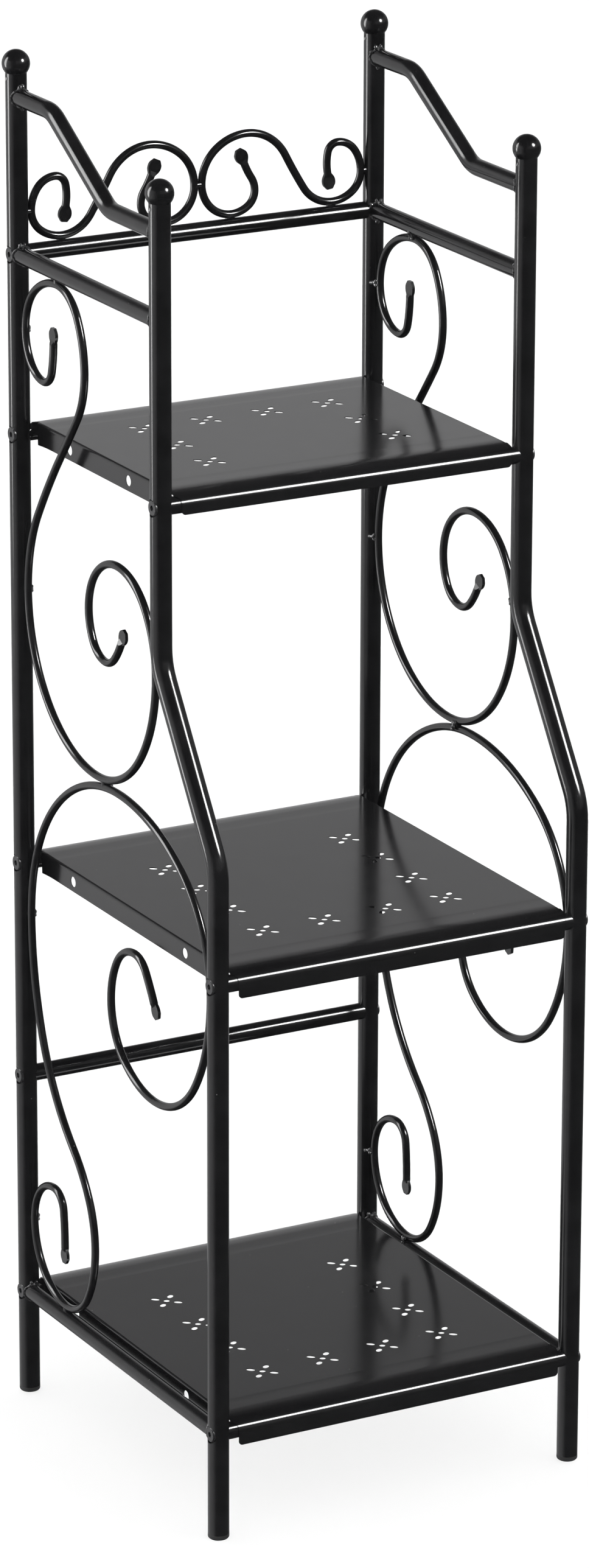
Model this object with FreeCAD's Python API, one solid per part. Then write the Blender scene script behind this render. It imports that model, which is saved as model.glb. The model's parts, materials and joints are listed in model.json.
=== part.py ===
import FreeCAD, Part
import math
import os

# Three-tier bakers rack. Two welded side frames of bent tube and scrolled wire are joined by bolted cross
# tubes, which carry three punched sheet shelves. Millimetres, +Z up, front towards -Y, origin on the floor
# under the middle of the rack. "Forward" is measured from the rear post axis, "up" from the floor.

V = FreeCAD.Vector

# Tube, wire and sheet stock
POST_D = 16.0
TUBE_D = 13.0
WALL = 1.0
WIRE_D = 6.0
SHEET = 0.6

# Overall frame, measured between tube axes
FRAME_WIDTH = 300.0
LOWER_DEPTH = 312.0
UPPER_DEPTH = 226.0
HEIGHT = 1060.0
FRONT_DROP = 50.0
BALL_D = 21.0

# Heights of the cross tubes and rails, at their axes
UPPER_RAIL_Z = 907.0
TOP_SHELF_Z = 770.0
MIDDLE_SHELF_Z = 434.0
LOWER_RAIL_Z = 262.0
BOTTOM_SHELF_Z = 84.0

# Bends of the front posts and the top arms, at the corners of their centre lines
POST_BENDS_Z = (652.0, 524.0)
POST_BEND_R = 42.0
POST_SPLIT_Z = 505.0
ARM_REAR_Z = 1025.0
ARM_FRONT_Z = 971.0
ARM_BENDS = (59.0, 149.0)
ARM_BEND_R = 30.0

# Bolts, their pressed seats in the posts, and the threaded inserts in the tube ends
SEAT_FLOOR = 5.4
SEAT_R = 6.6
BOLT_D = 6.0
BOLT_HOLE_D = 6.4
HEAD_D = 12.0
HEAD_H = 2.0
HEAD_EDGE = 0.7
SOCKET_ACROSS_CORNERS = 4.6
SOCKET_DEPTH = 2.4
BOLT_REACH = 22.0
INSERT_RECESS = 9.0
INSERT_LENGTH = 15.0

# Finials, the dimples that stake them in the posts, and foot plugs
SPIGOT_LENGTH = 12.0
STAKE_DROP = 3.6
STAKE_R = 4.0
STAKE_DEPTH = 0.8
FOOT_H = 4.0
FOOT_EDGE_R = 2.0

# Shelves: the deck eases down to the tubes it is rolled over; lips are measured below the tubes' axes
SHELF_WIDTH = 280.0
DECK_RISE = 9.2
EASE_ANGLE = 7.5
ROLL_INSET = 3.5
FLANGE_DROP = 16.2
FLANGE_BEND_R = 2.0
FLANGE_END_GAP = 2.0
TOP_LIP = 8.5
LOWER_LIP = 13.5
REAR_LIP = 4.5
LIP_CORNER_R = 3.0
FLANGE_HOLE_D = 8.0
FLANGE_HOLE_DROP = 8.4
FLANGE_HOLE_FROM_REAR = 62.0
FLANGE_HOLE_FROM_FRONT = 70.0

# Punched flowers: a round eye and four petals on the diagonals
FLOWER_PITCH = 51.5
FLOWER_EYE_D = 4.8
PETAL_LENGTH = 7.0
PETAL_WIDTH = 4.5
PETAL_OFFSET = 9.2
TOP_BACK_ROW = 61.0
LOWER_FRONT_ROW = 66.5

# Scrolls: the wire stands off what it is welded to by a thin gap, which the weld tacks bridge
WELD_GAP = 0.2
TACK_D = 5.6
POST_TOUCH = POST_D / 2 + WIRE_D / 2 + WELD_GAP
RAIL_TOUCH = TUBE_D / 2 + WIRE_D / 2 + WELD_GAP
WIRE_TOUCH = WIRE_D / 2 + WELD_GAP / 2
LEAF_LENGTH = 14.5
LEAF_WIDTH = 10.5
LEAF_THICK = 2.4
LEAF_PRESS_START = 1.6
LEAF_PRESS_END = 5.0
LEAF_CHEEK = [(0.0, 0.48), (0.16, 0.54), (0.36, 0.86), (0.58, 1.0), (0.78, 0.9)]
LEAF_TIP = 0.45

# Stations that each scroll wire passes: forward (or out from the middle), up, heading in degrees
UPPER_SCROLL = [
    (57, 849, 268), (41, 819, 180), (POST_TOUCH, 852, 90), (64, UPPER_RAIL_Z - RAIL_TOUCH, 0),
    (107, 840, 270), (69, 770, 231), (POST_TOUCH, 652, 270), (123, 538, 0), (217.2, 640, 90),
    (157, 708, 180), (111, 664, 270), (138, 630, 0), (162, 649, 60),
]
LOWER_SCROLL = [
    (63, 143, 90), (46, 184, 180), (POST_TOUCH, 147, 270), (65, BOTTOM_SHELF_Z + RAIL_TOUCH, 0),
    (114, 157, 90), (79, 227, 138), (POST_TOUCH, 395, 90), (155, 533.9, 0),
    (LOWER_DEPTH - POST_TOUCH, 420, 270), (212, 311, 180), (143, 369, 90), (182, 417, 0), (211, 390, 300),
]
BACK_SCROLL = [
    (110, 941, 98), (119, 962, 0), (FRAME_WIDTH / 2 - POST_TOUCH, 938, 270),
    (114, UPPER_RAIL_Z + RAIL_TOUCH, 180), (74, 957, 118), (41, 977, 180), (WIRE_TOUCH, 942, 270),
    (28, UPPER_RAIL_Z + RAIL_TOUCH, 0), (48, 933, 90), (40, 952, 114),
]

# Weld tacks: place on the wire's centre line, and the heading from there to what it is welded to
UPPER_TACKS = [
    (POST_TOUCH, 852, 180), (64, UPPER_RAIL_Z - RAIL_TOUCH, 90), (POST_TOUCH, 652, 180), (215.8, 654.6, 11),
    (135, 538.8, 276),
]
LOWER_TACKS = [
    (POST_TOUCH, 147, 180), (65, BOTTOM_SHELF_Z + RAIL_TOUCH, 270), (POST_TOUCH, 395, 180),
    (LOWER_DEPTH - POST_TOUCH, 420, 0),
]
BACK_TACKS = [
    (FRAME_WIDTH / 2 - POST_TOUCH, 938, 0), (114, UPPER_RAIL_Z + RAIL_TOUCH, 270),
    (28, UPPER_RAIL_Z + RAIL_TOUCH, 270),
]
MIDDLE_TACK = (WIRE_TOUCH, 942, 180)

# Derived places
REAR_Y = (LOWER_DEPTH + POST_D / 2 - BALL_D / 2) / 2
POST_X = FRAME_WIDTH / 2
BALL_SEAT = math.sqrt((BALL_D / 2) ** 2 - (POST_D / 2) ** 2)
REAR_POST_TOP = HEIGHT - BALL_D / 2 - BALL_SEAT
FRONT_POST_TOP = REAR_POST_TOP - FRONT_DROP
ROLL_R = TUBE_D / 2 + SHEET
EASE = math.radians(EASE_ANGLE)
EASE_R = (DECK_RISE - ROLL_R * math.cos(EASE)) / (1 - math.cos(EASE))
EASE_REACH = (EASE_R - ROLL_R) * math.sin(EASE)
SIDES = {"left": -1, "right": 1}
SHELVES = {
    "top": (TOP_SHELF_Z, UPPER_DEPTH, TOP_LIP),
    "middle": (MIDDLE_SHELF_Z, LOWER_DEPTH, LOWER_LIP),
    "bottom": (BOTTOM_SHELF_Z, LOWER_DEPTH, LOWER_LIP),
}
REAR_BOLTS_Z = (UPPER_RAIL_Z, TOP_SHELF_Z, MIDDLE_SHELF_Z, LOWER_RAIL_Z, BOTTOM_SHELF_Z)
BOLT_PLACES = [(0.0, z) for z in REAR_BOLTS_Z] + [(depth, z) for z, depth, lip in SHELVES.values()]


def in_side(side):
    """Map from forward and up to a point in one side frame's plane."""
    return lambda forward, up: V(side * POST_X, REAR_Y - forward, up)


def in_back(side):
    """Map from out and up to a point in one half of the back plane."""
    return lambda out, up: V(side * out, REAR_Y, up)


def bent_line(corners, bend_r):
    """Wire along the corners, with each inner corner rounded by a tangent arc."""
    edges = []
    start = corners[0]
    for before, corner, after in zip(corners, corners[1:], corners[2:]):
        back = (before - corner).normalize()
        ahead = (after - corner).normalize()
        half = back.getAngle(ahead) / 2
        setback = bend_r / math.tan(half)
        middle_dir = (back + ahead).normalize()
        middle = corner + middle_dir * (bend_r / math.sin(half) - bend_r)
        arc_start = corner + back * setback
        arc_end = corner + ahead * setback
        edges.append(Part.LineSegment(start, arc_start).toShape())
        edges.append(Part.Arc(arc_start, middle, arc_end).toShape())
        start = arc_end
    edges.append(Part.LineSegment(start, corners[-1]).toShape())
    return Part.Wire(edges)


def rod_along(wire, diameter):
    """Solid round rod along a wire."""
    first = wire.Edges[0]
    start = first.valueAt(first.FirstParameter)
    heading = first.tangentAt(first.FirstParameter)
    section = Part.Wire(Part.makeCircle(diameter / 2, start, heading))
    return wire.makePipeShell([section], True, False)


def rod_between(start, end, diameter):
    """Solid round rod between two points."""
    return Part.makeCylinder(diameter / 2, (end - start).Length, start, end - start)


def tube_between(start, end):
    """Rail tube between two points."""
    return rod_between(start, end, TUBE_D).cut(rod_between(start, end, TUBE_D - 2 * WALL))


def rear_post_line(side):
    place = in_side(side)
    return Part.Wire(Part.LineSegment(place(0, FOOT_H), place(0, REAR_POST_TOP)).toShape())


def front_post_line(side):
    place = in_side(side)
    corners = [
        place(LOWER_DEPTH, FOOT_H), place(LOWER_DEPTH, POST_BENDS_Z[1]),
        place(UPPER_DEPTH, POST_BENDS_Z[0]), place(UPPER_DEPTH, FRONT_POST_TOP),
    ]
    return bent_line(corners, POST_BEND_R)


def arm_line(side):
    place = in_side(side)
    corners = [
        place(0, ARM_REAR_Z), place(ARM_BENDS[0], ARM_REAR_Z),
        place(ARM_BENDS[1], ARM_FRONT_Z), place(UPPER_DEPTH, ARM_FRONT_Z),
    ]
    return bent_line(corners, ARM_BEND_R)


def from_post_axis(side, forward, up, start, end, radius):
    """Cylinder across a post, between two distances outward from its axis."""
    base = in_side(side)(forward, up) + V(side * start, 0, 0)
    return Part.makeCylinder(radius, end - start, base, V(side, 0, 0))


def stakes(place, forward, up, radius):
    """Balls that press a dimple into both sides of a post, a little below its top."""
    reach = POST_D / 2 - STAKE_DEPTH + STAKE_R
    return [Part.makeSphere(radius, place(forward, up - STAKE_DROP) + V(x, 0, 0)) for x in (-reach, reach)]


def post(line, side, bolts):
    """Post tube with a flat seat pressed in for each bolt head, the bolt holes and the stakes at its top."""
    top = line.Vertexes[-1].Point
    stake_at = in_side(side), REAR_Y - top.y, top.z
    outside = rod_along(line, POST_D).cut(stakes(*stake_at, STAKE_R))
    bore = rod_along(line, POST_D - 2 * WALL).cut(stakes(*stake_at, STAKE_R + WALL))
    for forward, up in bolts:
        outside = outside.cut(from_post_axis(side, forward, up, SEAT_FLOOR, POST_D, SEAT_R))
        bore = bore.cut(from_post_axis(side, forward, up, SEAT_FLOOR - WALL, POST_D, SEAT_R + WALL))
    tube = outside.cut(bore)
    for forward, up in bolts:
        tube = tube.cut(from_post_axis(side, forward, up, -POST_D, POST_D, BOLT_HOLE_D / 2))
    return tube


def front_post(side):
    """Front post as a straight leg with a bent tube on it, so that each is a slim collision hull."""
    tube = post(front_post_line(side), side, [b for b in BOLT_PLACES if b[0] > 0])
    below = Part.makeBox(2 * FRAME_WIDTH, 2 * LOWER_DEPTH, POST_SPLIT_Z, V(-FRAME_WIDTH, -LOWER_DEPTH, 0))
    return Part.makeCompound([tube.common(below), tube.cut(below)])


def finial(place, forward, up):
    """Ball that sits on the post's rim, with a staked spigot in its bore."""
    ball = Part.makeSphere(BALL_D / 2, place(forward, up + BALL_SEAT))
    below = Part.makeCylinder(BALL_D, BALL_D, place(forward, up - BALL_D))
    spigot = Part.makeCylinder(POST_D / 2 - WALL, SPIGOT_LENGTH, place(forward, up - SPIGOT_LENGTH))
    spigot = spigot.cut(stakes(place, forward, up, STAKE_R + WALL))
    return ball.cut(below).fuse(spigot).removeSplitter()


def foot_cap(place, forward):
    """Plug with a rounded sole that closes the post's bottom."""
    sole = Part.makeCylinder(POST_D / 2, FOOT_H, place(forward, 0))
    bottom_edge = [e for e in sole.Edges if e.Closed and abs(e.CenterOfMass.z) < FOOT_H / 4]
    sole = sole.makeFillet(FOOT_EDGE_R, bottom_edge)
    spigot = Part.makeCylinder(POST_D / 2 - WALL, SPIGOT_LENGTH, place(forward, FOOT_H))
    return sole.fuse(spigot).removeSplitter()


def heading_vector(degrees):
    angle = math.radians(degrees)
    return V(math.cos(angle), math.sin(angle), 0)


def arc_middle(start, heading, end):
    """Middle of the arc that leaves start along heading and passes end."""
    chord = end - start
    aside = heading - chord * (heading.dot(chord) / chord.dot(chord))
    rise = chord.Length / 2 * math.tan(heading.getAngle(chord) / 2)
    return (start + end) * 0.5 + aside.normalize() * rise


def biarc(start, start_heading, end, end_heading):
    """Points start, arc, joint, arc, end of two tangent arcs; the two headings differ."""
    chord = end - start
    spread = 1 - start_heading.dot(end_heading)
    along = chord.dot(start_heading + end_heading)
    reach = (math.sqrt(along ** 2 + 2 * spread * chord.dot(chord)) - along) / (2 * spread)
    joint = (start + start_heading * reach + end - end_heading * reach) * 0.5
    first = arc_middle(start, start_heading, joint)
    second = arc_middle(end, end_heading * -1, joint)
    return start, first, joint, second, end


def scroll_line(stations, place):
    """Wire centre line through the stations, as a chain of tangent arcs."""
    edges = []
    for (x0, z0, turn0), (x1, z1, turn1) in zip(stations, stations[1:]):
        flat = biarc(V(x0, z0, 0), heading_vector(turn0), V(x1, z1, 0), heading_vector(turn1))
        a, b, c, d, e = [place(p.x, p.y) for p in flat]
        edges.append(Part.Arc(a, b, c).toShape())
        edges.append(Part.Arc(c, d, e).toShape())
    return Part.Wire(edges)


def leaf(place, station, backwards):
    """Wire end hammered into a flat spade with a blunt tip, pointing along the station's heading."""
    x, z, turn = station
    base = place(x, z)
    ahead_2d = heading_vector(turn + 180 if backwards else turn)
    ahead = place(x + ahead_2d.x, z + ahead_2d.y) - base
    across = place(x - ahead_2d.y, z + ahead_2d.x) - base
    out = across.cross(ahead)

    def at(along, aside, above):
        return base + ahead * along + across * aside + out * above

    def on_outline(share, wide, side):
        return at(share * LEAF_LENGTH, side * wide * LEAF_WIDTH / 2, -LEAF_THICK / 2)

    cheeks = []
    for side in (1, -1):
        cheek = Part.BSplineCurve()
        cheek.interpolate([on_outline(share, wide, side) for share, wide in LEAF_CHEEK])
        cheeks.append(cheek)
    tip = [cheeks[0].EndPoint, on_outline(1, LEAF_TIP, 1), on_outline(1, LEAF_TIP, -1), cheeks[1].EndPoint]
    foot = Part.LineSegment(cheeks[0].StartPoint, cheeks[1].StartPoint)
    edges = [cheek.toShape() for cheek in cheeks] + Part.makePolygon(tip).Edges + [foot.toShape()]
    spade = Part.Face(Part.Wire(Part.__sortEdges__(edges))).extrude(out * LEAF_THICK)
    neck = rod_between(base, at(LEAF_PRESS_END, 0, 0), WIRE_D)
    for face in (1, -1):
        corners = [
            at(LEAF_PRESS_START, -WIRE_D, face * WIRE_D / 2),
            at(LEAF_PRESS_END, -WIRE_D, face * LEAF_THICK / 2),
            at(2 * LEAF_PRESS_END, -WIRE_D, face * WIRE_D),
            at(LEAF_PRESS_START, -WIRE_D, face * WIRE_D),
        ]
        neck = neck.cut(Part.Face(Part.makePolygon(corners + corners[:1])).extrude(across * (2 * WIRE_D)))
    return neck.fuse(spade)


def tack(place, x, z, turn):
    """Stub of weld metal from the wire's centre towards what it is welded to."""
    towards = heading_vector(turn)
    return rod_between(place(x, z), place(x + towards.x * WIRE_D, z + towards.y * WIRE_D), TACK_D)


def scroll(stations, tacks, place, welded_to):
    """Scroll wire with its leaves and weld tacks, trimmed to what it is welded to."""
    pieces = [leaf(place, stations[0], True), leaf(place, stations[-1], False)]
    pieces += [tack(place, *spot) for spot in tacks]
    solid = rod_along(scroll_line(stations, place), WIRE_D).fuse(pieces)
    return solid.cut(welded_to).removeSplitter()


def sheet_section(front_y, tube_z, lip):
    """Face across the sheet: a flat deck that eases down to the front and rear tubes and rolls over them."""
    front_roll = V(ROLL_INSET - SHELF_WIDTH / 2, front_y, tube_z)
    rear_roll = V(front_roll.x, REAR_Y, tube_z)
    ease_drop = V(0, 0, DECK_RISE - EASE_R)
    front_ease = front_roll + V(0, EASE_REACH, 0) + ease_drop
    rear_ease = rear_roll - V(0, EASE_REACH, 0) + ease_drop

    def arc(centre, radius, start, end):
        turns = (start, (start + end) / 2, end)
        return Part.Arc(*[centre + V(0, -math.sin(t), math.cos(t)) * radius for t in turns])

    def skin(depth):
        """Curves of one face of the sheet, from the front lip's end to the rear lip's."""
        roll_r = ROLL_R - depth
        ease_r = EASE_R - depth
        arcs = [
            arc(front_roll, roll_r, math.pi / 2, EASE), arc(front_ease, ease_r, EASE, 0),
            arc(rear_ease, ease_r, 0, -EASE), arc(rear_roll, roll_r, -EASE, -math.pi / 2),
        ]
        front_lip = Part.LineSegment(front_roll + V(0, -roll_r, -lip), arcs[0].StartPoint)
        deck = Part.LineSegment(arcs[1].EndPoint, arcs[2].StartPoint)
        rear_lip = Part.LineSegment(arcs[3].EndPoint, rear_roll + V(0, roll_r, -REAR_LIP))
        return [front_lip, *arcs[:2], deck, *arcs[2:], rear_lip]

    top = skin(0)
    under = skin(SHEET)
    ends = [
        Part.LineSegment(top[0].StartPoint, under[0].StartPoint),
        Part.LineSegment(top[-1].EndPoint, under[-1].EndPoint),
    ]
    return Part.Face(Part.Wire(Part.__sortEdges__([curve.toShape() for curve in top + under + ends])))


def flange_section(side, y, deck_z):
    """Face across the deck's side edge, past the rolls' ends and bent down."""
    bulge = FLANGE_BEND_R * (1 - math.sqrt(0.5))
    inner_bulge = SHEET + (FLANGE_BEND_R - SHEET) * (1 - math.sqrt(0.5))

    def at(inset, drop):
        return V(side * (SHELF_WIDTH / 2 - inset), y, deck_z - drop)

    def line(a, b):
        return Part.LineSegment(at(*a), at(*b)).toShape()

    edges = [
        line((ROLL_INSET, 0), (FLANGE_BEND_R, 0)),
        Part.Arc(at(FLANGE_BEND_R, 0), at(bulge, bulge), at(0, FLANGE_BEND_R)).toShape(),
        line((0, FLANGE_BEND_R), (0, FLANGE_DROP)),
        line((0, FLANGE_DROP), (SHEET, FLANGE_DROP)),
        line((SHEET, FLANGE_DROP), (SHEET, FLANGE_BEND_R)),
        Part.Arc(at(SHEET, FLANGE_BEND_R), at(inner_bulge, inner_bulge), at(FLANGE_BEND_R, SHEET)).toShape(),
        line((FLANGE_BEND_R, SHEET), (ROLL_INSET, SHEET)),
        line((ROLL_INSET, SHEET), (ROLL_INSET, 0)),
    ]
    return Part.Face(Part.Wire(edges))


def flange(side, front_y, deck_z):
    """Side edge of the sheet between the tubes, which follows the deck as it eases down at both ends."""
    front_end = front_y + EASE_REACH
    rear_end = REAR_Y - EASE_REACH
    eased = EASE_REACH - TUBE_D / 2 - FLANGE_END_GAP
    turn = math.degrees(math.asin(eased / EASE_R))
    pieces = [flange_section(side, front_end, deck_z).extrude(V(0, rear_end - front_end, 0))]
    for y, towards in ((front_end, 1), (rear_end, -1)):
        pivot = V(0, y, deck_z - EASE_R)
        pieces.append(flange_section(side, y, deck_z).revolve(pivot, V(1, 0, 0), towards * turn))
    return pieces


def flower(x, y, deck_z):
    """Punches for one flower: a round eye and four petals pointing out along the diagonals."""
    base_z = deck_z - 2 * SHEET
    depth = 3 * SHEET
    punches = [Part.makeCylinder(FLOWER_EYE_D / 2, depth, V(x, y, base_z))]
    for turn in (45, 135, 225, 315):
        out = heading_vector(turn)
        centre = V(x, y, base_z) + out * PETAL_OFFSET
        aside = heading_vector(turn + 90)
        outline = Part.Ellipse(centre + out * (PETAL_LENGTH / 2), centre + aside * (PETAL_WIDTH / 2), centre)
        punches.append(Part.Face(Part.Wire(outline.toShape())).extrude(V(0, 0, depth)))
    return punches


def flower_grid(row_y, step_y, side_flowers):
    """Flower centres in a U: a row of four at row_y, and more from each of its ends along step_y."""
    columns = [(i - 1.5) * FLOWER_PITCH for i in range(4)]
    row = [(x, row_y) for x in columns]
    legs = [(x, row_y + (i + 1) * step_y) for x in (columns[0], columns[-1]) for i in range(side_flowers)]
    return row + legs


def shelf(tube_z, depth, lip, flowers):
    """Sheet shelf with rolled front and rear edges, side flanges and punched flowers."""
    front_y = REAR_Y - depth
    deck_z = tube_z + DECK_RISE
    sheet = sheet_section(front_y, tube_z, lip).extrude(V(SHELF_WIDTH - 2 * ROLL_INSET, 0, 0))
    corner_y = front_y - ROLL_R + SHEET / 2
    corners = [e for e in sheet.Edges if abs(e.CenterOfMass.y - corner_y) < SHEET / 4
               and abs(e.CenterOfMass.z - (tube_z - lip)) < SHEET / 4 and e.Length < 2 * SHEET]
    sheet = sheet.makeFillet(LIP_CORNER_R, corners)
    punches = []
    for side in SIDES.values():
        sheet = sheet.fuse(flange(side, front_y, deck_z))
        for hole_y in (REAR_Y - FLANGE_HOLE_FROM_REAR, front_y + FLANGE_HOLE_FROM_FRONT):
            hole_base = V(side * (SHELF_WIDTH / 2 - 2 * SHEET), hole_y, deck_z - FLANGE_HOLE_DROP)
            punches.append(Part.makeCylinder(FLANGE_HOLE_D / 2, 4 * SHEET, hole_base, V(side, 0, 0)))
    for x, y in flowers:
        punches += flower(x, y, deck_z)
    return sheet.removeSplitter().cut(punches)


def bolt(side, forward, up):
    """Low round head with a hex socket, seated in the post, and a shank that reaches into the tube."""
    head = from_post_axis(side, forward, up, SEAT_FLOOR, SEAT_FLOOR + HEAD_H, HEAD_D / 2)
    face_x = side * (POST_X + SEAT_FLOOR + HEAD_H)
    rim = [e for e in head.Edges if e.Closed and abs(e.CenterOfMass.x - face_x) < HEAD_H / 4]
    head = head.makeChamfer(HEAD_EDGE, rim)
    shank = from_post_axis(side, forward, up, -BOLT_REACH, SEAT_FLOOR, BOLT_D / 2)
    centre = in_side(side)(forward, up) + V(side * (SEAT_FLOOR + HEAD_H), 0, 0)
    corners = []
    for i in range(6):
        spoke = heading_vector(60 * i) * (SOCKET_ACROSS_CORNERS / 2)
        corners.append(centre + V(0, spoke.x, spoke.y))
    socket = Part.Face(Part.makePolygon(corners + corners[:1])).extrude(V(-side * SOCKET_DEPTH, 0, 0))
    return head.fuse(shank).cut(socket).removeSplitter()


def tube_insert(side, forward, up):
    """Threaded plug fixed inside the end of a bolted tube."""
    start = -INSERT_RECESS - INSERT_LENGTH
    plug = from_post_axis(side, forward, up, start, -INSERT_RECESS, TUBE_D / 2 - WALL)
    return plug.cut(from_post_axis(side, forward, up, start, -INSERT_RECESS, BOLT_D / 2))


def cross_tube(forward, up, post_rods):
    """Tube between the side frames, its ends coped to fit round the posts."""
    return tube_between(in_side(-1)(forward, up), in_side(1)(forward, up)).cut(post_rods)


def side_rail(side, depth, up, post_rods):
    """Tube welded between the posts of one side frame, clear of the cross tubes and bolt heads beside it."""
    beside = []
    for forward, bolt_up in BOLT_PLACES:
        if bolt_up == up:
            beside.append(from_post_axis(side, forward, up, SEAT_FLOOR, POST_D, SEAT_R))
            beside.append(from_post_axis(side, forward, up, -POST_X, 0, TUBE_D / 2))
    place = in_side(side)
    return tube_between(place(0, up), place(depth, up)).cut(post_rods + beside)


def side_frame(side):
    """Everything welded or pressed into one side frame, by name."""
    place = in_side(side)
    rear_rod = rod_along(rear_post_line(side), POST_D)
    front_rod = rod_along(front_post_line(side), POST_D)
    posts = [rear_rod, front_rod]
    upper_rail = rod_between(place(0, UPPER_RAIL_Z), place(UPPER_DEPTH, UPPER_RAIL_Z), TUBE_D)
    lower_rail = rod_between(place(0, BOTTOM_SHELF_Z), place(LOWER_DEPTH, BOTTOM_SHELF_Z), TUBE_D)
    lower_wire = rod_along(scroll_line(LOWER_SCROLL, place), WIRE_D)
    arm = arm_line(side)
    return {
        "rear_post": post(rear_post_line(side), side, [b for b in BOLT_PLACES if b[0] == 0]),
        "front_post": front_post(side),
        "rear_finial": finial(place, 0, REAR_POST_TOP),
        "front_finial": finial(place, UPPER_DEPTH, FRONT_POST_TOP),
        "rear_foot_cap": foot_cap(place, 0),
        "front_foot_cap": foot_cap(place, LOWER_DEPTH),
        "arm": rod_along(arm, TUBE_D).cut(rod_along(arm, TUBE_D - 2 * WALL)).cut(posts),
        "upper_side_rail": side_rail(side, UPPER_DEPTH, UPPER_RAIL_Z, posts),
        "lower_side_rail": side_rail(side, LOWER_DEPTH, BOTTOM_SHELF_Z, posts),
        "upper_scroll": scroll(UPPER_SCROLL, UPPER_TACKS, place, posts + [upper_rail, lower_wire]),
        "lower_scroll": scroll(LOWER_SCROLL, LOWER_TACKS, place, posts + [lower_rail]),
    }


def back_scrolls(post_rods):
    """Mirrored pair of scrolls on the upper back rail, tacked to each other in the middle."""
    rail = rod_between(in_side(-1)(0, UPPER_RAIL_Z), in_side(1)(0, UPPER_RAIL_Z), TUBE_D)
    right_wire = rod_along(scroll_line(BACK_SCROLL, in_back(1)), WIRE_D)
    left = scroll(BACK_SCROLL, BACK_TACKS + [MIDDLE_TACK], in_back(-1), post_rods + [rail, right_wire])
    right = scroll(BACK_SCROLL, BACK_TACKS, in_back(1), post_rods + [rail])
    return {"left_back_scroll": left, "right_back_scroll": right}


def build():
    """All pieces by node name."""
    nodes = {}
    post_rods = []
    for name, side in SIDES.items():
        post_rods += [rod_along(rear_post_line(side), POST_D), rod_along(front_post_line(side), POST_D)]
        for piece, solid in side_frame(side).items():
            nodes[f"{name}_{piece}"] = solid
        nodes[f"{name}_bolts"] = Part.makeCompound([bolt(side, *spot) for spot in BOLT_PLACES])
        nodes[f"{name}_tube_inserts"] = Part.makeCompound([tube_insert(side, *spot) for spot in BOLT_PLACES])
    nodes.update(back_scrolls(post_rods))
    nodes["upper_back_rail"] = cross_tube(0, UPPER_RAIL_Z, post_rods)
    nodes["lower_back_rail"] = cross_tube(0, LOWER_RAIL_Z, post_rods)
    flowers = {"top": flower_grid(REAR_Y - TOP_BACK_ROW, -FLOWER_PITCH, 2)}
    lower_row = REAR_Y - LOWER_DEPTH + LOWER_FRONT_ROW
    flowers["middle"] = flowers["bottom"] = flower_grid(lower_row, FLOWER_PITCH, 3)
    for level, (tube_z, depth, lip) in SHELVES.items():
        nodes[f"{level}_front_tube"] = cross_tube(depth, tube_z, post_rods)
        nodes[f"{level}_rear_tube"] = cross_tube(0, tube_z, post_rods)
        nodes[f"{level}_shelf"] = shelf(tube_z, depth, lip, flowers[level])
    return nodes


def main():
    os.makedirs("parts", exist_ok=True)
    for name, shape in build().items():
        shape.exportStep(f"parts/{name}.step")


main()
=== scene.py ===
import json
import math

import bmesh
import bpy
from mathutils import Matrix, Quaternion, Vector, noise


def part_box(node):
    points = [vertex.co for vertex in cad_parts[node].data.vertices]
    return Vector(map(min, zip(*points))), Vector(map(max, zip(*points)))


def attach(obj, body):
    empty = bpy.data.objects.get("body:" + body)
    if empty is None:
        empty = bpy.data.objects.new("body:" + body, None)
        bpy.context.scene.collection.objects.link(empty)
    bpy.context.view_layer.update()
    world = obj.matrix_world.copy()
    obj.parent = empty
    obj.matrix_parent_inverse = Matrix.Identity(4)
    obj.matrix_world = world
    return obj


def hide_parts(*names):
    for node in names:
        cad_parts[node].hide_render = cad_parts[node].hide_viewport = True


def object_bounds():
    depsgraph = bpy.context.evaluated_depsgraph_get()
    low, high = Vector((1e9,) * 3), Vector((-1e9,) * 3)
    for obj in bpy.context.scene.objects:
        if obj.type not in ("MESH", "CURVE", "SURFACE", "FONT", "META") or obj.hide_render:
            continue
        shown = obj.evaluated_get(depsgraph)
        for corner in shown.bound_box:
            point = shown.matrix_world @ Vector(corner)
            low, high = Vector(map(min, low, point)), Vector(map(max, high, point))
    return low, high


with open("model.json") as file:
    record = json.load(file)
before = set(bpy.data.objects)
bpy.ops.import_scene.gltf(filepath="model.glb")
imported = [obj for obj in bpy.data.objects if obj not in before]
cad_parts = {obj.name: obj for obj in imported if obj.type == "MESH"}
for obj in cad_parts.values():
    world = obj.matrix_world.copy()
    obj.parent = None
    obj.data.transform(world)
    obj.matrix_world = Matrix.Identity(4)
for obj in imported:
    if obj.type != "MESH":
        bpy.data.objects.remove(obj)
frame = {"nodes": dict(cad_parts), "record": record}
cad_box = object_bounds()
nodes = frame["nodes"]


def box_middle(node):
    """Middle of a node's box."""
    low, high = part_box(node)
    return (low + high) / 2


def box_size(node):
    """Size of a node's box."""
    low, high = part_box(node)
    return high - low


# Places and sizes that the welds follow, read from the frame, in metres
SIDES = {"left": -1, "right": 1}
POST_R = box_size("left_rear_post").x / 2
TUBE_R = box_size("upper_back_rail").z / 2
POST_X = box_middle("right_rear_foot_cap").x
REAR_Y = box_middle("left_rear_foot_cap").y
UPPER_FRONT_Y = box_middle("left_front_finial").y
LOWER_FRONT_Y = box_middle("left_front_foot_cap").y
UPPER_RAIL_Z = box_middle("left_upper_side_rail").z
LOWER_RAIL_Z = box_middle("left_lower_side_rail").z
ARM_REAR_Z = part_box("left_arm")[1].z - TUBE_R
ARM_FRONT_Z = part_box("left_arm")[0].z + TUBE_R

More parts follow.
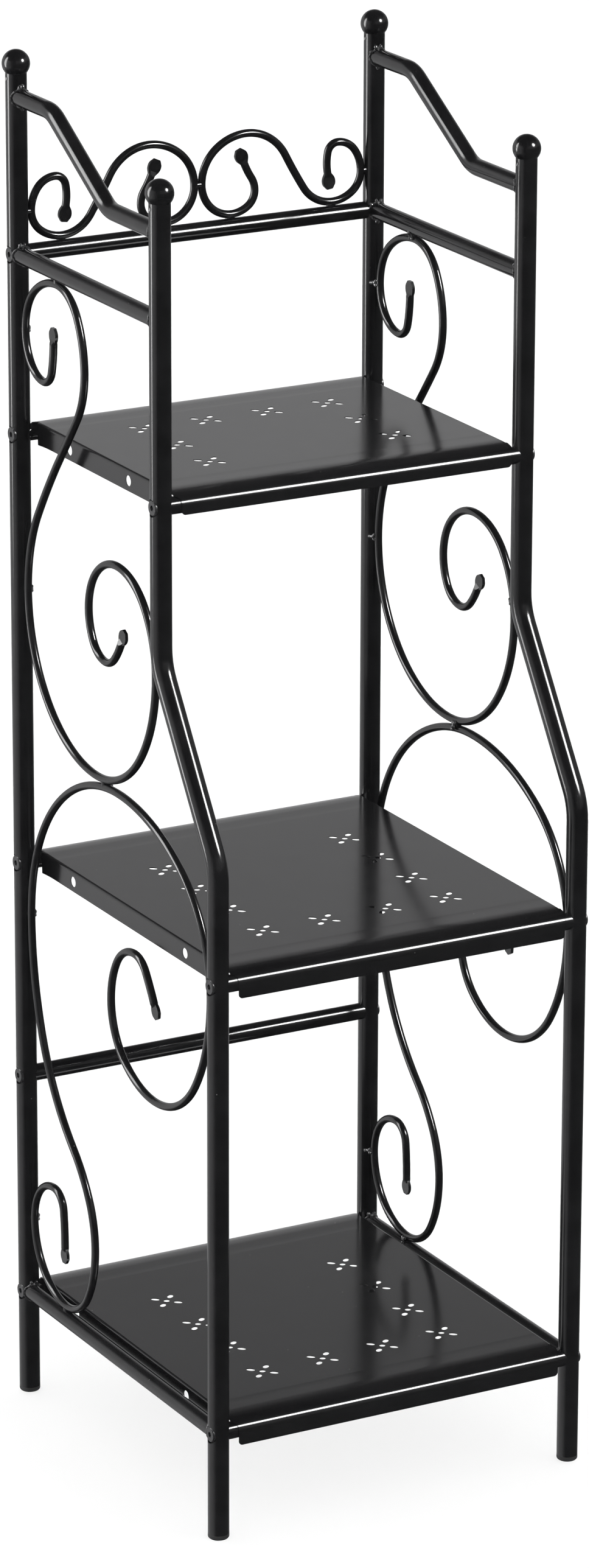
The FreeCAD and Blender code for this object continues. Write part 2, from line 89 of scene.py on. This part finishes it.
# Shelf sheets: how much of each front lip goes, and the angles at which the deck meets its rolls, as drawn
# and as photographed. Points higher over the tubes' axes than the crest belong to the deck. Points in front
# of the front tube's axis, within the foot's height of the shelf's lowest point, belong to the lip's edge.
LIP_TRIMS = {"top": 0.0022, "middle": 0.0032, "bottom": 0.0032}
DRAWN_EASE = math.radians(7.5)
PHOTO_EASE = math.radians(20)
DECK_CREST = 0.0035
LIP_FOOT = 0.0032

# The sheet's ends are drawn this far in from the shelf's sides. Over each tube they stand out by an ear. It
# starts on the outer side of the tube's axis, is full close to the axis and ends on its inner side.
ROLL_INSET = 0.0035
EAR_WIDTH = 0.0034
EAR_START = -0.0055
EAR_FULL = -0.0005
EAR_END = 0.008
SAME_PLACE = 0.00001

# Weld beads round the tube ends: thickness, height and count of the ripples, depth of the grain, and points
# along and across a bead
BEAD_R = 0.0011
BEAD_RIPPLE = 0.08
BEAD_RIPPLES = 13
BEAD_ROUGHNESS = 0.12
BEAD_STEPS = 72
BEAD_SECTION = 10

# Lumps of weld on the beads: degrees from the tube's top towards the inside of the rack, lift off the tube,
# radius, and length over width. Angle, in radians, and size stray by noise, each read from its own row of it.
JOINT_LUMPS = [
    (-12, 0.0014, 0.0016, 1.3),
    (14, 0.0015, 0.0016, 1.4),
    (52, 0.0006, 0.0014, 1.2),
    (173, 0.0013, 0.0016, 1.2),
]
JOINT_SEED_STEP = 3.7
ANGLE_STRAY = 0.2
ANGLE_ROW = 0.5
SIZE_STRAY = 0.3
SIZE_ROW = 1.5

# Surface of beads and lumps: grain per metre, its coarse and fine parts on a lump, and their depth
WELD_GRAIN = 600.0
LUMP_COARSE = 0.5
LUMP_FINE = 1.6
LUMP_FINE_SHARE = 0.4
LUMP_ROUGHNESS = 0.22
LUMP_SUBDIVISIONS = 3

# Beads and lumps melt into one skin
SKIN_VOXEL = 0.0004
MELT_FACTOR = 0.5
MELT_PASSES = 4

# Tack welds of the scrolls: forward from the rear posts' axis, or out from the middle of the back, up, and
# heading in degrees from the wire to what it is welded to
POST_TOUCH = 0.0081
SIDE_TACKS = [
    (POST_TOUCH, 0.852, 180),
    (0.064, UPPER_RAIL_Z - TUBE_R, 90),
    (POST_TOUCH, 0.652, 180),
    (0.2188, 0.6552, 11),
    (0.1354, 0.5357, 276),
    (POST_TOUCH, 0.147, 180),
    (0.065, LOWER_RAIL_Z + TUBE_R, 270),
    (POST_TOUCH, 0.395, 180),
    (0.3039, 0.420, 0),
]
BACK_TACKS = [
    (0.1419, 0.938, 0),
    (0.114, UPPER_RAIL_Z + TUBE_R, 270),
    (0.028, UPPER_RAIL_Z + TUBE_R, 270),
]
MIDDLE_TACK_Z = 0.942

# Each tack is a forked bridge of lumps: place along the heading, along the wire and off its plane, and radius
TACK_LUMPS = [
    (-0.0023, 0.0017, 0.0033, 0.0015),
    (-0.0022, -0.0015, 0.0033, 0.0014),
    (-0.0008, 0.0001, 0.0037, 0.0016),
    (0.0008, 0.0002, 0.0042, 0.0016),
    (0.0022, 0.0005, 0.0048, 0.0018),
]
TACK_LENGTH = 1.1
TACK_SEED_STEP = 2.3
MIDDLE_TACK_SEED = 5.0
BACK_TACK_SEED = 7.0

# Colours of the finishes
BLACK = (0.005, 0.005, 0.0054)
BLACK_LIGHT = (0.009, 0.009, 0.0096)
SHELF_BLACK = (0.007, 0.007, 0.0074)
SHELF_LIGHT = (0.0085, 0.0085, 0.009)
DUST = (0.2, 0.2, 0.19)
WELD_BLACK = (0.012, 0.012, 0.0125)
WELD_CREST = (0.06, 0.06, 0.061)
PLUG_DARK = (0.012, 0.012, 0.012)
PLUG_LIGHT = (0.03, 0.03, 0.03)
ZINC_DARK = (0.42, 0.42, 0.43)
ZINC_LIGHT = (0.6, 0.6, 0.62)
OXIDE = (0.012, 0.012, 0.013)
OXIDE_WORN = (0.05, 0.05, 0.052)
PAPER_DARK = (0.86, 0.86, 0.86)
PAPER_LIGHT = (0.88, 0.88, 0.88)

# Finishes: where most values of a noise lie, how strong all bumps are, and the count and depth of the swells
# under the orange peel, over the peel's own
NOISE_SPAN = (0.3, 0.7)
BUMP_STRENGTH = 0.3
SWELL_COUNT = 0.15
SWELL_DEPTH = 3

# Camera, at the photograph's viewing angle, in degrees, metres and millimetres of sensor
CAMERA_AZIMUTH = -28.72
CAMERA_ELEVATION = 18.31
CAMERA_ROLL = 0.15
CAMERA_DISTANCE = 5.003
CAMERA_TARGET = Vector((-0.0011, 0.0006, 0.5174))
CAMERA_FOV = 13.32
SENSOR = 36.0

# Soft boxes, a round one to the front right and a tall strip on the left: direction from the rack's middle,
# distance, width, height and power
LIGHT_AIM = Vector((0, 0, 0.5))
SOFT_BOXES = {
    "key": (Vector((0.47, -0.65, 0.595)), 2.8, 0.85, 0.85, 80.0),
    "strip": (Vector((-0.86, 0.51, 0.3)), 2.3, 0.8, 2.4, 42.0),
}

# Wide soft lights overhead, one with shadows and one without, their spread in degrees, and the pale sweep
OVERHEAD_STRENGTH = 0.7
OVERHEAD_SPREAD = 165.0
FILL_STRENGTH = 2.6
SWEEP_FLOOR_R = 22.0
SWEEP_COVE_R = 3.0
SWEEP_COVE_STEPS = 12
SWEEP_HEIGHT = 14.0
SWEEP_SEGMENTS = 128

# Surroundings that the paint mirrors: colours, the ways that the parts lie in, and the spans over which they
# fade, as cosines to those ways or as heights
ROOM_DARK = (0.06, 0.06, 0.06)
ROOM_WHITE = (0.85, 0.85, 0.86)
ROOM_PANEL = (0.3, 0.3, 0.3)
BACKDROP_WAY = (-0.42, 0.91, 0.0)
BACKDROP_SPAN = (-0.35, 0.55)
CEILING_SPAN = (0.26, 0.56)
GROUND_SPAN = (-0.75, -0.40)
DIMMED_WAY = (0.48, 0.877, 0.0)
DIMMED_SPAN = (0.3, 0.9)
DIMMED_LEVEL = 0.7
PANEL_WAY = (0.64, -0.77, 0.0)
PANEL_SPAN = (0.1, 0.7)
PANEL_FOOT = (0.06, 0.16)
PANEL_HEAD = (0.42, 0.58)
UP = (0, 0, 1)
FADE_IN = (0.0, 1.0)
FADE_OUT = (1.0, 0.0)


def new_material(name):
    """Material with a principled shader, its node tree and the shader."""
    material = bpy.data.materials.new(name)
    material.use_nodes = True
    tree = material.node_tree
    return material, tree, tree.nodes["Principled BSDF"]


def noise_node(tree, scale, detail=2.0, roughness=0.5, stretch=(1, 1, 1)):
    """Noise in the object's own metres, optionally stretched along an axis."""
    place = tree.nodes.new("ShaderNodeTexCoord")
    mapping = tree.nodes.new("ShaderNodeMapping")
    mapping.inputs["Scale"].default_value = stretch
    texture = tree.nodes.new("ShaderNodeTexNoise")
    texture.inputs["Scale"].default_value = scale
    texture.inputs["Detail"].default_value = detail
    texture.inputs["Roughness"].default_value = roughness
    tree.links.new(place.outputs["Object"], mapping.inputs["Vector"])
    tree.links.new(mapping.outputs["Vector"], texture.inputs["Vector"])
    return texture.outputs["Fac"]


def map_range(tree, source, span, to=FADE_IN, smooth=False):
    """Part of a value's range, stretched to another range and clamped."""
    node = tree.nodes.new("ShaderNodeMapRange")
    if smooth:
        node.interpolation_type = "SMOOTHSTEP"
    for label, value in zip(("From Min", "From Max", "To Min", "To Max"), (*span, *to)):
        node.inputs[label].default_value = value
    tree.links.new(source, node.inputs["Value"])
    return node.outputs["Result"]


def calculate(tree, operation, first, second):
    """Math on two values, each a socket or a number."""
    node = tree.nodes.new("ShaderNodeMath")
    node.operation = operation
    for slot, value in zip(node.inputs, (first, second)):
        if isinstance(value, (int, float)):
            slot.default_value = value
        else:
            tree.links.new(value, slot)
    return node.outputs["Value"]


def mix_color(tree, factor, first, second):
    """Colour that goes from first to second with the factor; each is a socket or a colour."""
    node = tree.nodes.new("ShaderNodeMix")
    node.data_type = "RGBA"
    tree.links.new(factor, node.inputs["Factor"])
    slots = [s for s in node.inputs if s.type == "RGBA"]
    for slot, value in zip(slots, (first, second)):
        if isinstance(value, tuple):
            slot.default_value = (*value, 1.0)
        else:
            tree.links.new(value, slot)
    return next(s for s in node.outputs if s.type == "RGBA")


def specks(tree, per_metre, size, share):
    """Mask of small round specks, in a share of cells that are so many to a metre."""
    place = tree.nodes.new("ShaderNodeTexCoord")
    cells = tree.nodes.new("ShaderNodeTexVoronoi")
    cells.inputs["Scale"].default_value = per_metre
    tree.links.new(place.outputs["Object"], cells.inputs["Vector"])
    reach = size * per_metre
    near = map_range(tree, cells.outputs["Distance"], (reach / 2, reach), FADE_OUT)
    parts = tree.nodes.new("ShaderNodeSeparateColor")
    tree.links.new(cells.outputs["Color"], parts.inputs["Color"])
    chosen = calculate(tree, "GREATER_THAN", parts.outputs["Red"], 1 - share)
    return calculate(tree, "MULTIPLY", near, chosen)


def add_bump(tree, shader, height, distance, before=None):
    """Bump from a height socket, on top of an earlier one; returns its normal."""
    bump = tree.nodes.new("ShaderNodeBump")
    bump.inputs["Strength"].default_value = BUMP_STRENGTH
    bump.inputs["Distance"].default_value = distance
    tree.links.new(height, bump.inputs["Height"])
    if before is not None:
        tree.links.new(before, bump.inputs["Normal"])
    tree.links.new(bump.outputs["Normal"], shader.inputs["Normal"])
    return bump.outputs["Normal"]


def powder_coat(name, dark, light, gloss, peel_pitch, peel_depth, dust_share):
    """Black powder coat: blotchy tone, orange peel, uneven gloss and a few specks of dust."""
    material, tree, shader = new_material(name)
    blotches = map_range(tree, noise_node(tree, scale=40.0, detail=4.0, roughness=0.6), span=(0.35, 0.65))
    paint = mix_color(tree, blotches, dark, light)
    dust = specks(tree, per_metre=220.0, size=0.0004, share=dust_share)
    tree.links.new(mix_color(tree, dust, paint, DUST), shader.inputs["Base Color"])
    patches = noise_node(tree, scale=55.0, detail=3.0)
    tree.links.new(map_range(tree, patches, NOISE_SPAN, gloss), shader.inputs["Roughness"])
    swells = noise_node(tree, scale=SWELL_COUNT / peel_pitch, detail=1.0)
    normal = add_bump(tree, shader, swells, peel_depth * SWELL_DEPTH)
    add_bump(tree, shader, noise_node(tree, scale=1 / peel_pitch), peel_depth, normal)
    return material


def weld_paint(name):
    """Powder coat over a weld: greyish on the crests, glossy and uneven."""
    material, tree, shader = new_material(name)
    crests = map_range(tree, noise_node(tree, scale=450.0, detail=3.0), span=(0.4, 0.6))
    tree.links.new(mix_color(tree, crests, WELD_BLACK, WELD_CREST), shader.inputs["Base Color"])
    tree.links.new(map_range(tree, crests, span=(0.0, 1.0), to=(0.12, 0.2)), shader.inputs["Roughness"])
    shader.inputs["Specular IOR Level"].default_value = 1.0
    add_bump(tree, shader, noise_node(tree, scale=900.0), distance=0.0003)
    return material


def moulded_plastic(name):
    """Matt black moulding with a fine grain."""
    material, tree, shader = new_material(name)
    grain = noise_node(tree, scale=2500.0)
    tree.links.new(mix_color(tree, grain, PLUG_DARK, PLUG_LIGHT), shader.inputs["Base Color"])
    tree.links.new(map_range(tree, grain, NOISE_SPAN, to=(0.5, 0.7)), shader.inputs["Roughness"])
    add_bump(tree, shader, grain, distance=0.0001)
    return material


def plated_steel(name):
    """Zinc-plated steel with faint turning marks."""
    material, tree, shader = new_material(name)
    marks = noise_node(tree, scale=900.0, detail=3.0, stretch=(1, 0.2, 0.2))
    tree.links.new(mix_color(tree, marks, ZINC_DARK, ZINC_LIGHT), shader.inputs["Base Color"])
    shader.inputs["Metallic"].default_value = 1.0
    tree.links.new(map_range(tree, marks, NOISE_SPAN, to=(0.25, 0.45)), shader.inputs["Roughness"])
    return material


def black_oxide(name):
    """Bolt steel with a black finish, worn a little lighter in patches."""
    material, tree, shader = new_material(name)
    wear = noise_node(tree, scale=700.0, detail=4.0, roughness=0.65)
    worn = map_range(tree, wear, span=(0.5, 0.75))
    tree.links.new(mix_color(tree, worn, OXIDE, OXIDE_WORN), shader.inputs["Base Color"])
    tree.links.new(map_range(tree, wear, NOISE_SPAN, to=(0.25, 0.4)), shader.inputs["Roughness"])
    return material


def pale_paper(name):
    """Matt pale paper of the studio sweep."""
    material, tree, shader = new_material(name)
    tone = noise_node(tree, scale=2.0, detail=3.0)
    tree.links.new(mix_color(tree, tone, PAPER_DARK, PAPER_LIGHT), shader.inputs["Base Color"])
    shader.inputs["Roughness"].default_value = 0.9
    shader.inputs["Specular IOR Level"].default_value = 0.1
    return material


MATERIALS = {
    "tube_paint": powder_coat("tube_paint", BLACK, BLACK_LIGHT, gloss=(0.13, 0.20), peel_pitch=0.0011,
                              peel_depth=0.00002, dust_share=0.02),
    "wire_paint": powder_coat("wire_paint", BLACK, BLACK_LIGHT, gloss=(0.13, 0.20), peel_pitch=0.0010,
                              peel_depth=0.00002, dust_share=0.02),
    "shelf_paint": powder_coat("shelf_paint", SHELF_BLACK, SHELF_LIGHT, gloss=(0.15, 0.17), peel_pitch=0.0014,
                               peel_depth=0.000001, dust_share=0.03),
    "finial_paint": powder_coat("finial_paint", BLACK, BLACK_LIGHT, gloss=(0.14, 0.18), peel_pitch=0.0012,
                                peel_depth=0.00001, dust_share=0.02),
    "foot_cap": moulded_plastic("foot_cap"),
    "bolt": black_oxide("bolt"),
    "insert": plated_steel("insert"),
}
WELD_PAINT = weld_paint("weld_paint")


def dress_frame():
    """Give every node of the frame its procedural material."""
    for subpart in frame["record"]["subparts"]:
        mesh = nodes[subpart["node"]].data
        mesh.materials.clear()
        mesh.materials.append(MATERIALS[subpart["material_slot"]])


def new_object(name, data):
    """Object with that data, linked to the scene."""
    item = bpy.data.objects.new(name, data)
    bpy.context.scene.collection.objects.link(item)
    return item


def smooth_mesh(name, build, material):
    """Smooth-shaded mesh from a bmesh, which is used up."""
    mesh = bpy.data.meshes.new(name)
    build.to_mesh(mesh)
    build.free()
    mesh.polygons.foreach_set("use_smooth", [True] * len(mesh.polygons))
    mesh.materials.append(material)
    return mesh


def add_piece(name, build, material):
    """New piece from a bmesh whose solids melt into one skin, riding on the rack."""
    bmesh.ops.recalc_face_normals(build, faces=build.faces)
    piece = new_object(name, smooth_mesh(name, build, material))
    skin = piece.modifiers.new("skin", "REMESH")
    skin.mode = "VOXEL"
    skin.voxel_size = SKIN_VOXEL
    skin.use_smooth_shade = True
    melt = piece.modifiers.new("melt", "SMOOTH")
    melt.factor = MELT_FACTOR
    melt.iterations = MELT_PASSES
    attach(piece, "root")


def deck_profile(inward, ease, roll_r, rise):
    """Height over a tube's axis, and lean, of a sheet that eases down to its roll, at a distance inward."""
    if inward < -roll_r * math.sin(ease):
        lean = math.asin(max(-1.0, inward / roll_r))
        return roll_r * math.cos(lean), -lean
    radius = (rise - roll_r * math.cos(ease)) / (1 - math.cos(ease))
    reach = (radius - roll_r) * math.sin(ease)
    lean = math.asin(max(0.0, reach - inward) / radius)
    return rise - radius * (1 - math.cos(lean)), lean


def ear_reach(inward):
    """How far a shelf's end stands out over its tube, at a distance inward of the tube's axis."""
    if inward > EAR_END:
        return 0.0
    share = min(1.0, max(0.0, (inward - EAR_START) / (EAR_FULL - EAR_START)))
    return EAR_WIDTH * share * share * (3 - 2 * share)


def fit_shelf(level, lip_trim):
    """Shelf sheet in place of the drawn one: flat almost to its rolls, with ears and a shorter front lip."""
    node = f"{level}_shelf"
    low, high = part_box(node)
    front = box_middle(f"{level}_front_tube")
    rear = box_middle(f"{level}_rear_tube")
    roll_r = front.y - low.y
    rise = high.z - front.z
    roll_end = high.x - ROLL_INSET
    mesh = nodes[node].data.copy()
    normals = [corner.vector.copy() for corner in mesh.corner_normals]
    turns = {}
    for vert in mesh.vertices:
        behind_front = vert.co.y - front.y
        inward = min(behind_front, rear.y - vert.co.y)
        if vert.co.z > front.z + DECK_CREST:
            drawn, drawn_lean = deck_profile(inward, DRAWN_EASE, roll_r, rise)
            fitted, fitted_lean = deck_profile(inward, PHOTO_EASE, roll_r, rise)
            vert.co.z += fitted - drawn
            if abs(abs(vert.co.x) - roll_end) < SAME_PLACE:
                vert.co.x += math.copysign(ear_reach(inward), vert.co.x)
            turn = fitted_lean - drawn_lean
            turns[vert.index] = Matrix.Rotation(turn if inward == behind_front else -turn, 3, "X")
        elif behind_front < 0 and vert.co.z < low.z + LIP_FOOT:
            vert.co.z += lip_trim
    for index, loop in enumerate(mesh.loops):
        if loop.vertex_index in turns:
            normals[index].rotate(turns[loop.vertex_index])
    mesh.normals_split_custom_set(normals)
    mesh.materials.clear()
    mesh.materials.append(MATERIALS["shelf_paint"])
    piece = new_object(f"{node}_sheet", mesh)
    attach(piece, "root")
    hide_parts(node)


def bridge_rings(build, rings):
    """Quads between successive rings of vertices, the last joined to the first."""
    for here, there in zip(rings, rings[1:] + rings[:1]):
        for j in range(len(here)):
            k = (j + 1) % len(here)
            build.faces.new((here[j], here[k], there[k], there[j]))


def saddle_point(post, towards, turn):
    """Point where a tube along Y meets a post, turned from its top, and the ways out of tube and post."""
    out_tube = Vector((math.sin(turn), 0, math.cos(turn)))
    side = TUBE_R * out_tube.x
    reach = towards * math.sqrt(POST_R ** 2 - side ** 2)
    return post + Vector((side, reach, TUBE_R * out_tube.z)), out_tube, Vector((side, reach, 0)) / POST_R


def saddle_bead(build, post, towards, seed):
    """Rippled bead along the curve where a tube meets a post."""
    rings = []
    for i in range(BEAD_STEPS):
        turn = 2 * math.pi * i / BEAD_STEPS
        centre, out_tube, out_post = saddle_point(post, towards, turn)
        radius = BEAD_R * (1 + BEAD_RIPPLE * math.sin(BEAD_RIPPLES * turn + seed))
        ring = []
        for j in range(BEAD_SECTION):
            angle = 2 * math.pi * j / BEAD_SECTION
            arm = (out_tube * math.cos(angle) + out_post * math.sin(angle)) * radius
            grain = noise.noise((centre + arm) * WELD_GRAIN + Vector((seed, 0, 0)))
            ring.append(build.verts.new(centre + arm * (1 + BEAD_ROUGHNESS * grain)))
        rings.append(ring)
    bridge_rings(build, rings)


def lump(build, centre, along, radius, length, seed):
    """Uneven blob of weld, drawn out along a direction."""
    turn = along.to_track_quat("Z", "Y").to_matrix().to_4x4()
    place = Matrix.Translation(centre) @ turn @ Matrix.Diagonal((radius, radius, radius * length, 1))
    made = bmesh.ops.create_icosphere(build, subdivisions=LUMP_SUBDIVISIONS, radius=1.0, matrix=place)
    for vert in made["verts"]:
        arm = vert.co - centre
        coarse = noise.noise(vert.co * WELD_GRAIN * LUMP_COARSE + Vector((seed, seed, 0)))
        fine = noise.noise(vert.co * WELD_GRAIN * LUMP_FINE + Vector((0, seed, 0)))
        vert.co = centre + arm * (1 + LUMP_ROUGHNESS * (coarse + LUMP_FINE_SHARE * fine))


def frame_joints(side):
    """Post axis points, and headings along Y of the tubes welded there, in one side frame."""
    x = side * POST_X
    tubes = (
        (ARM_REAR_Z, ARM_FRONT_Z, UPPER_FRONT_Y),
        (UPPER_RAIL_Z, UPPER_RAIL_Z, UPPER_FRONT_Y),
        (LOWER_RAIL_Z, LOWER_RAIL_Z, LOWER_FRONT_Y),
    )
    joints = []
    for rear_z, front_z, front_y in tubes:
        joints.append((Vector((x, REAR_Y, rear_z)), -1))
        joints.append((Vector((x, front_y, front_z)), 1))
    return joints


def add_frame_welds():
    """Bead round both ends of each arm and side rail, with lumps above, below and on the inner side."""
    for name, side in SIDES.items():
        build = bmesh.new()
        for index, (post, towards) in enumerate(frame_joints(side)):
            seed = JOINT_SEED_STEP * index + side
            saddle_bead(build, post, towards, seed)
            for degrees, lift, size, length in JOINT_LUMPS:
                stray = ANGLE_STRAY * noise.noise(Vector((seed, degrees, ANGLE_ROW)))
                turn = -side * (math.radians(degrees) + stray)
                centre, out_tube, _ = saddle_point(post, towards, turn)
                radius = size * (1 + SIZE_STRAY * noise.noise(Vector((degrees, seed, SIZE_ROW))))
                lump(build, centre + out_tube * lift, out_tube, radius, length, seed + degrees)
        add_piece(f"{name}_frame_welds", build, WELD_PAINT)


def tack(build, contact, towards, off_plane, seed):
    """Bridge of lumps beside a contact, from the wire to what it is welded to."""
    wire = off_plane.cross(towards)
    for index, (along, across, aside, radius) in enumerate(TACK_LUMPS):
        centre = contact + towards * along + wire * across + off_plane * aside
        lump(build, centre, towards, radius, TACK_LENGTH, seed + TACK_SEED_STEP * index)


def add_tack_welds():
    """Tacks that hold the scrolls: inside the rack on the side frames, behind the wires at the back."""
    for name, side in SIDES.items():
        build = bmesh.new()
        inside = Vector((-side, 0, 0))
        for index, (forward, up, heading) in enumerate(SIDE_TACKS):
            angle = math.radians(heading)
            towards = Vector((0, -math.cos(angle), math.sin(angle)))
            contact = Vector((side * POST_X, REAR_Y - forward, up))
            tack(build, contact, towards, inside, index + side)
        add_piece(f"{name}_scroll_tacks", build, WELD_PAINT)
    build = bmesh.new()
    behind = Vector((0, 1, 0))
    tack(build, Vector((0, REAR_Y, MIDDLE_TACK_Z)), Vector((1, 0, 0)), behind, MIDDLE_TACK_SEED)
    for side in SIDES.values():
        for index, (out, up, heading) in enumerate(BACK_TACKS):
            angle = math.radians(heading)
            towards = Vector((side * math.cos(angle), 0, math.sin(angle)))
            tack(build, Vector((side * out, REAR_Y, up)), towards, behind, BACK_TACK_SEED + index + side)
    add_piece("back_scroll_tacks", build, WELD_PAINT)


def studio_world():
    """Surroundings of the paint's gloss: white behind and to the left, a dim panel at the front right."""
    world = bpy.data.worlds.new("studio")
    world.use_nodes = True
    bpy.context.scene.world = world
    tree = world.node_tree
    place = tree.nodes.new("ShaderNodeTexCoord").outputs["Generated"]

    def along(way):
        node = tree.nodes.new("ShaderNodeVectorMath")
        node.operation = "DOT_PRODUCT"
        node.inputs[1].default_value = way
        tree.links.new(place, node.inputs[0])
        return node.outputs["Value"]

    def both(first, second):
        return calculate(tree, "MULTIPLY", first, second)

    height = along(UP)
    behind = map_range(tree, along(BACKDROP_WAY), BACKDROP_SPAN, FADE_IN, smooth=True)
    ceiling = map_range(tree, height, CEILING_SPAN, FADE_OUT, smooth=True)
    ground = map_range(tree, height, GROUND_SPAN, FADE_IN, smooth=True)
    dimmed = map_range(tree, along(DIMMED_WAY), DIMMED_SPAN, (1.0, DIMMED_LEVEL), smooth=True)
    white = both(both(behind, both(ceiling, ground)), dimmed)
    backdrop = mix_color(tree, white, ROOM_DARK, ROOM_WHITE)
    front = map_range(tree, along(PANEL_WAY), PANEL_SPAN, FADE_IN, smooth=True)
    foot = map_range(tree, height, PANEL_FOOT, FADE_IN, smooth=True)
    head = map_range(tree, height, PANEL_HEAD, FADE_OUT, smooth=True)
    color = mix_color(tree, both(front, both(foot, head)), backdrop, ROOM_PANEL)
    tree.links.new(color, tree.nodes["Background"].inputs["Color"])


def add_soft_box(name, direction, distance, width, height, power):
    """Oval soft box that shows only in the gloss: bright lines along the tubes and dots on the balls."""
    data = bpy.data.lights.new(name, "AREA")
    data.shape = "ELLIPSE"
    data.size = width
    data.size_y = height
    data.energy = power
    light = new_object(name, data)
    ray = direction.normalized()
    light.location = LIGHT_AIM + ray * distance
    light.rotation_euler = (-ray).to_track_quat("-Z", "Y").to_euler()
    light.visible_camera = False
    light.visible_diffuse = False


def add_overhead(name, strength, casts_shadow):
    """Wide soft light from above that keeps the sweep pale and stays out of the reflections."""
    data = bpy.data.lights.new(name, "SUN")
    data.energy = strength
    data.angle = math.radians(OVERHEAD_SPREAD)
    data.use_shadow = casts_shadow
    data.cycles.use_multiple_importance_sampling = casts_shadow
    new_object(name, data).visible_glossy = False


def add_sweep():
    """Pale floor that curves up into a wall all round, left out of the reflections."""
    profile = []
    for i in range(SWEEP_COVE_STEPS + 1):
        turn = math.pi / 2 * i / SWEEP_COVE_STEPS
        profile.append((SWEEP_FLOOR_R + SWEEP_COVE_R * math.sin(turn), SWEEP_COVE_R * (1 - math.cos(turn))))
    profile.append((SWEEP_FLOOR_R + SWEEP_COVE_R, SWEEP_HEIGHT))
    turns = [2 * math.pi * i / SWEEP_SEGMENTS for i in range(SWEEP_SEGMENTS)]
    build = bmesh.new()
    centre = build.verts.new((0, 0, 0))
    rings = []
    for radius, up in profile:
        rings.append([build.verts.new((radius * math.cos(t), radius * math.sin(t), up)) for t in turns])
    for i in range(SWEEP_SEGMENTS):
        k = (i + 1) % SWEEP_SEGMENTS
        build.faces.new((centre, rings[0][i], rings[0][k]))
        for here, there in zip(rings, rings[1:]):
            build.faces.new((here[i], there[i], there[k], here[k]))
    sweep = new_object("sweep", smooth_mesh("sweep", build, pale_paper("sweep_paper")))
    sweep.location.z = cad_box[0].z
    sweep.visible_glossy = False


def add_camera():
    """Camera at the photograph's viewing angle, without shift or depth of field."""
    azimuth = math.radians(CAMERA_AZIMUTH)
    elevation = math.radians(CAMERA_ELEVATION)
    level = Vector((math.sin(azimuth), -math.cos(azimuth), 0)) * math.cos(elevation)
    back = level + Vector((0, 0, math.sin(elevation)))
    data = bpy.data.cameras.new("camera")
    data.sensor_width = SENSOR
    data.lens = SENSOR / 2 / math.tan(math.radians(CAMERA_FOV) / 2)
    camera = new_object("camera", data)
    camera.location = CAMERA_TARGET + back * CAMERA_DISTANCE
    camera.rotation_mode = "QUATERNION"
    roll = Quaternion((0, 0, 1), math.radians(CAMERA_ROLL))
    camera.rotation_quaternion = (-back).to_track_quat("-Z", "Y") @ roll
    bpy.context.scene.camera = camera


dress_frame()
for level, lip_trim in LIP_TRIMS.items():
    fit_shelf(level, lip_trim)
add_frame_welds()
add_tack_welds()
studio_world()
for name, setting in SOFT_BOXES.items():
    add_soft_box(name, *setting)
add_overhead("overhead", OVERHEAD_STRENGTH, True)
add_overhead("fill", FILL_STRENGTH, False)
add_sweep()
add_camera()
bpy.context.scene.view_settings.view_transform = "Standard"
